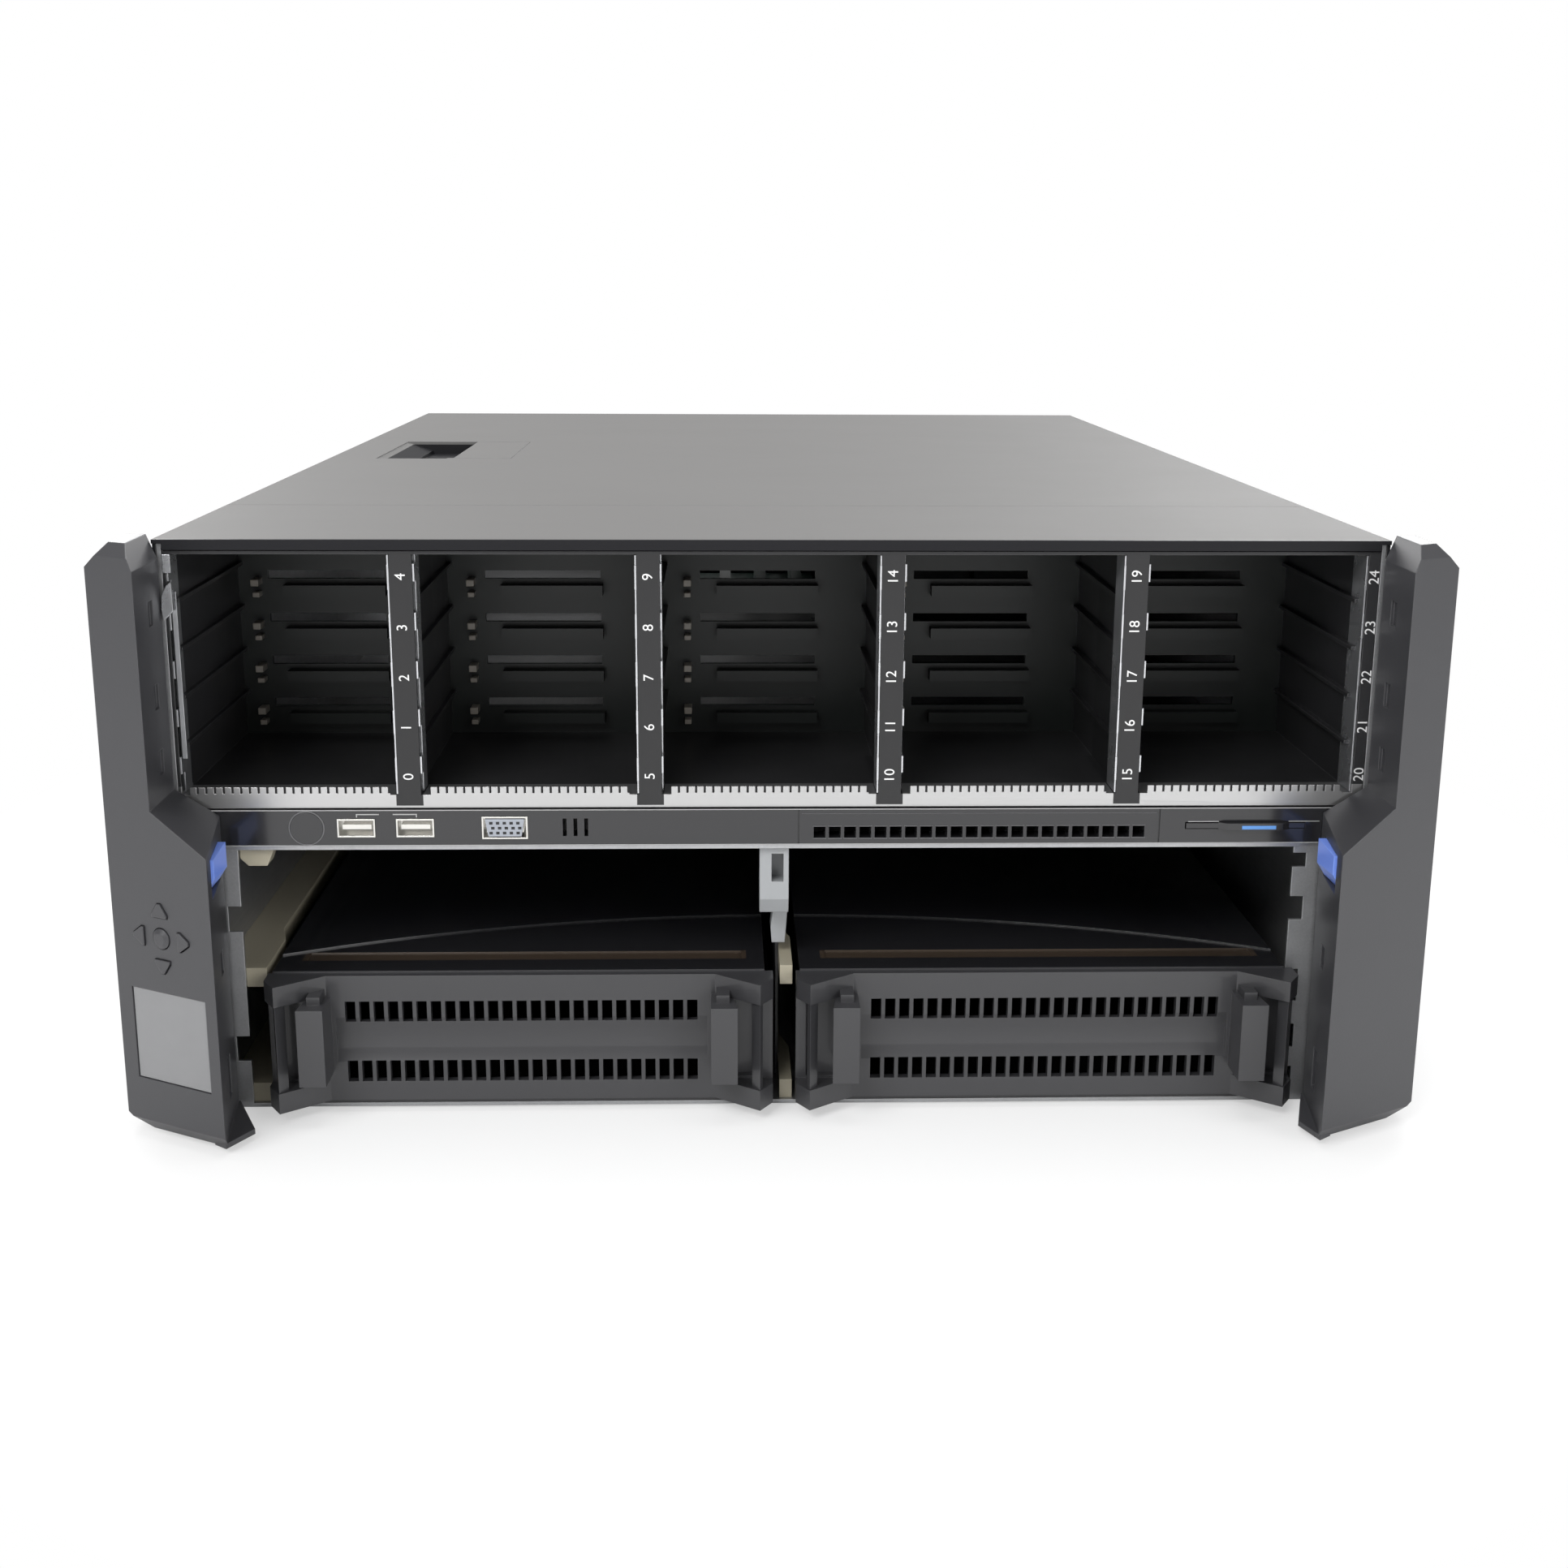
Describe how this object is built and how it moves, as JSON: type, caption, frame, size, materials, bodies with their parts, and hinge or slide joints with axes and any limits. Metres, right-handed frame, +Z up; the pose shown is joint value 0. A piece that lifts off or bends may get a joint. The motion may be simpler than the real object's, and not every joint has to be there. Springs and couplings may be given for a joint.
{
  "type": "blade server chassis",
  "caption": "Rack chassis with open drive bay over blanked module bays, angled ears with a display, and sliding power supplies, blowers and port modules at the rear.",
  "frame": {"origin": "centre of the overall box in plan, at the underside of the base tray", "axes": "+Y from front to rear, +Z up, +X to the right seen from the front"},
  "size_m": [0.4824, 0.7562, 0.221],
  "materials": {
    "galvanised_steel": "bright zinc plated sheet",
    "rear_steel": "plated sheet, satin",
    "cover_paint": "fine textured dark grey paint",
    "backplane": "dark circuit board",
    "board": "green circuit board",
    "guide_plastic": "tan and grey moulded plastic",
    "dark_metal": "black painted sheet with moulded bezel",
    "charcoal_plastic": "moulded charcoal plastic, fine texture",
    "display": "grey display window",
    "gloss_black": "gloss black",
    "plated_metal": "nickel plated",
    "blue_plastic": "blue moulded plastic",
    "frosted_plastic": "frosted translucent plastic with a black fabric strap",
    "fan_black": "black moulded plastic",
    "orange_plastic": "orange moulded plastic"
  },
  "bodies": {
    "chassis": {"base_tray": "galvanised_steel", "upper_shell": "galvanised_steel", "rear_panel": "rear_steel", "card_slot_frames": "rear_steel", "front_cover": "cover_paint", "drive_cage": "galvanised_steel", "drive_backplane": "backplane", "system_boards": "board", "bay_guides": "guide_plastic", "bay_divider": "dark_metal", "left_ear": "charcoal_plastic", "right_ear": "charcoal_plastic", "lcd_window": "display", "control_strip": "gloss_black", "front_ports": "plated_metal", "slot_fillers": "galvanised_steel", "chassis_screws": "plated_metal"},
    "top_cover": {"top_cover": "cover_paint"},
    "cover_latch": {"cover_latch": "cover_paint"},
    "io_module": {"io_module": "rear_steel"},
    "management_module": {"management_module": "charcoal_plastic"},
    "blank_left": {"blank_left": "dark_metal"},
    "blank_right": {"blank_right": "dark_metal"},
    "info_tag": {"info_tag": "gloss_black"},
    "power_button": {"power_button": "gloss_black"},
    "nav_centre": {"nav_centre": "charcoal_plastic"},
    "nav_up": {"nav_up": "charcoal_plastic"},
    "nav_down": {"nav_down": "charcoal_plastic"},
    "nav_left": {"nav_left": "charcoal_plastic"},
    "nav_right": {"nav_right": "charcoal_plastic"},
    "ear_release_left": {"ear_release_left": "blue_plastic"},
    "ear_release_right": {"ear_release_right": "blue_plastic"},
    "psu_1": {"psu_1_case": "rear_steel", "psu_1_handle": "frosted_plastic"},
    "psu_1_rotor": {"psu_1_rotor": "fan_black"},
    "psu_1_latch": {"psu_1_latch": "orange_plastic"},
    "psu_2": {"psu_2_case": "rear_steel", "psu_2_handle": "frosted_plastic"},
    "psu_2_rotor": {"psu_2_rotor": "fan_black"},
    "psu_2_latch": {"psu_2_latch": "orange_plastic"},
    "psu_3": {"psu_3_case": "rear_steel", "psu_3_handle": "frosted_plastic"},
    "psu_3_rotor": {"psu_3_rotor": "fan_black"},
    "psu_3_latch": {"psu_3_latch": "orange_plastic"},
    "psu_4": {"psu_4_case": "rear_steel", "psu_4_handle": "frosted_plastic"},
    "psu_4_rotor": {"psu_4_rotor": "fan_black"},
    "psu_4_latch": {"psu_4_latch": "orange_plastic"},
    "blower_1": {"blower_1_housing": "charcoal_plastic"},
    "blower_1_latch": {"blower_1_latch": "orange_plastic"},
    "blower_1_wheel": {"blower_1_wheel": "fan_black"},
    "blower_2": {"blower_2_housing": "charcoal_plastic"},
    "blower_2_latch": {"blower_2_latch": "orange_plastic"},
    "blower_2_wheel": {"blower_2_wheel": "fan_black"},
    "blower_3": {"blower_3_housing": "charcoal_plastic"},
    "blower_3_latch": {"blower_3_latch": "orange_plastic"},
    "blower_3_wheel": {"blower_3_wheel": "fan_black"},
    "blower_4": {"blower_4_housing": "charcoal_plastic"},
    "blower_4_latch": {"blower_4_latch": "orange_plastic"},
    "blower_4_wheel": {"blower_4_wheel": "fan_black"}
  },
  "joints": [
    {"name": "top_cover_slide", "type": "slide", "parent": "chassis", "child": "top_cover", "axis": [0, 1, 0], "range_m": [0, 0.012]},
    {"name": "cover_latch_lift", "type": "hinge", "parent": "top_cover", "child": "cover_latch", "pos_m": [-0.145, 0.00131, 0.2166], "axis": [1, 0, 0], "range_deg": [0, 55.1]},
    {"name": "io_module_slide", "type": "slide", "parent": "chassis", "child": "io_module", "axis": [0, 1, 0], "range_m": [0, 0.1]},
    {"name": "management_module_slide", "type": "slide", "parent": "chassis", "child": "management_module", "axis": [0, 1, 0], "range_m": [0, 0.1]},
    {"name": "blank_left_slide", "type": "slide", "parent": "chassis", "child": "blank_left", "axis": [0, -1, 0], "range_m": [0, 0.25]},
    {"name": "blank_right_slide", "type": "slide", "parent": "chassis", "child": "blank_right", "axis": [0, -1, 0], "range_m": [0, 0.25]},
    {"name": "info_tag_slide", "type": "slide", "parent": "chassis", "child": "info_tag", "axis": [0, -1, 0], "range_m": [0, 0.06]},
    {"name": "power_button_press", "type": "slide", "parent": "chassis", "child": "power_button", "axis": [0, 1, 0], "range_m": [0, 0.0015], "stiffness_N_per_m": 300, "springref_m": -0.0005},
    {"name": "nav_centre_press", "type": "slide", "parent": "chassis", "child": "nav_centre", "axis": [0.4909, 0.8712, 0], "range_m": [0, 0.0008], "stiffness_N_per_m": 300, "springref_m": -0.0004},
    {"name": "nav_up_press", "type": "slide", "parent": "chassis", "child": "nav_up", "axis": [0.4909, 0.8712, 0], "range_m": [0, 0.0008], "stiffness_N_per_m": 300, "springref_m": -0.0004},
    {"name": "nav_down_press", "type": "slide", "parent": "chassis", "child": "nav_down", "axis": [0.4909, 0.8712, 0], "range_m": [0, 0.0008], "stiffness_N_per_m": 300, "springref_m": -0.0004},
    {"name": "nav_left_press", "type": "slide", "parent": "chassis", "child": "nav_left", "axis": [0.4909, 0.8712, 0], "range_m": [0, 0.0008], "stiffness_N_per_m": 300, "springref_m": -0.0004},
    {"name": "nav_right_press", "type": "slide", "parent": "chassis", "child": "nav_right", "axis": [0.4909, 0.8712, 0], "range_m": [0, 0.0008], "stiffness_N_per_m": 300, "springref_m": -0.0004},
    {"name": "ear_release_left_press", "type": "slide", "parent": "chassis", "child": "ear_release_left", "axis": [-1, 0, 0], "range_m": [0, 0.003], "stiffness_N_per_m": 200, "springref_m": -0.001},
    {"name": "ear_release_right_press", "type": "slide", "parent": "chassis", "child": "ear_release_right", "axis": [1, 0, 0], "range_m": [0, 0.003], "stiffness_N_per_m": 200, "springref_m": -0.001},
    {"name": "psu_1_slide", "type": "slide", "parent": "chassis", "child": "psu_1", "axis": [0, 1, 0], "range_m": [0, 0.15]},
    {"name": "psu_1_fan_spin", "type": "hinge", "parent": "psu_1", "child": "psu_1_rotor", "pos_m": [0.2, 0.34861, 0.1873], "axis": [0, 1, 0], "continuous": true},
    {"name": "psu_1_latch_squeeze", "type": "hinge", "parent": "psu_1", "child": "psu_1_latch", "pos_m": [0.1404, 0.34861, 0.1873], "axis": [0, 0, -1], "range_deg": [0, 8], "stiffness_Nm_per_rad": 0.2, "springref_deg": -2.86},
    {"name": "psu_2_slide", "type": "slide", "parent": "chassis", "child": "psu_2", "axis": [0, 1, 0], "range_m": [0, 0.15]},
    {"name": "psu_2_fan_spin", "type": "hinge", "parent": "psu_2", "child": "psu_2_rotor", "pos_m": [0.1124, 0.34861, 0.1873], "axis": [0, 1, 0], "continuous": true},
    {"name": "psu_2_latch_squeeze", "type": "hinge", "parent": "psu_2", "child": "psu_2_latch", "pos_m": [0.0528, 0.34861, 0.1873], "axis": [0, 0, -1], "range_deg": [0, 8], "stiffness_Nm_per_rad": 0.2, "springref_deg": -2.86},
    {"name": "psu_3_slide", "type": "slide", "parent": "chassis", "child": "psu_3", "axis": [0, 1, 0], "range_m": [0, 0.15]},
    {"name": "psu_3_fan_spin", "type": "hinge", "parent": "psu_3", "child": "psu_3_rotor", "pos_m": [0.2, 0.34861, 0.1477], "axis": [0, 1, 0], "continuous": true},
    {"name": "psu_3_latch_squeeze", "type": "hinge", "parent": "psu_3", "child": "psu_3_latch", "pos_m": [0.1404, 0.34861, 0.1477], "axis": [0, 0, -1], "range_deg": [0, 8], "stiffness_Nm_per_rad": 0.2, "springref_deg": -2.86},
    {"name": "psu_4_slide", "type": "slide", "parent": "chassis", "child": "psu_4", "axis": [0, 1, 0], "range_m": [0, 0.15]},
    {"name": "psu_4_fan_spin", "type": "hinge", "parent": "psu_4", "child": "psu_4_rotor", "pos_m": [0.1124, 0.34861, 0.1477], "axis": [0, 1, 0], "continuous": true},
    {"name": "psu_4_latch_squeeze", "type": "hinge", "parent": "psu_4", "child": "psu_4_latch", "pos_m": [0.0528, 0.34861, 0.1477], "axis": [0, 0, -1], "range_deg": [0, 8], "stiffness_Nm_per_rad": 0.2, "springref_deg": -2.86},
    {"name": "blower_1_slide", "type": "slide", "parent": "chassis", "child": "blower_1", "axis": [0, 1, 0], "range_m": [0, 0.15]},
    {"name": "blower_1_wheel_spin", "type": "hinge", "parent": "blower_1", "child": "blower_1_wheel", "pos_m": [0.1584, 0.24081, 0.0514], "axis": [0, 0, 1], "continuous": true},
    {"name": "blower_1_latch_press", "type": "slide", "parent": "blower_1", "child": "blower_1_latch", "axis": [0, -1, 0], "range_m": [0, 0.003], "stiffness_N_per_m": 300, "springref_m": -0.001},
    {"name": "blower_2_slide", "type": "slide", "parent": "chassis", "child": "blower_2", "axis": [0, 1, 0], "range_m": [0, 0.15]},
    {"name": "blower_2_wheel_spin", "type": "hinge", "parent": "blower_2", "child": "blower_2_wheel", "pos_m": [0.0528, 0.24081, 0.0514], "axis": [0, 0, 1], "continuous": true},
    {"name": "blower_2_latch_press", "type": "slide", "parent": "blower_2", "child": "blower_2_latch", "axis": [0, -1, 0], "range_m": [0, 0.003], "stiffness_N_per_m": 300, "springref_m": -0.001},
    {"name": "blower_3_slide", "type": "slide", "parent": "chassis", "child": "blower_3", "axis": [0, 1, 0], "range_m": [0, 0.15]},
    {"name": "blower_3_wheel_spin", "type": "hinge", "parent": "blower_3", "child": "blower_3_wheel", "pos_m": [-0.0528, 0.24081, 0.0514], "axis": [0, 0, 1], "continuous": true},
    {"name": "blower_3_latch_press", "type": "slide", "parent": "blower_3", "child": "blower_3_latch", "axis": [0, -1, 0], "range_m": [0, 0.003], "stiffness_N_per_m": 300, "springref_m": -0.001},
    {"name": "blower_4_slide", "type": "slide", "parent": "chassis", "child": "blower_4", "axis": [0, 1, 0], "range_m": [0, 0.15]},
    {"name": "blower_4_wheel_spin", "type": "hinge", "parent": "blower_4", "child": "blower_4_wheel", "pos_m": [-0.1584, 0.24081, 0.0514], "axis": [0, 0, 1], "continuous": true},
    {"name": "blower_4_latch_press", "type": "slide", "parent": "blower_4", "child": "blower_4_latch", "axis": [0, -1, 0], "range_m": [0, 0.003], "stiffness_N_per_m": 300, "springref_m": -0.001}
  ],
  "couplings": [
    {"joint": "cover_latch_lift", "follows": "top_cover_slide", "rad_per_m": 79.994}
  ]
}
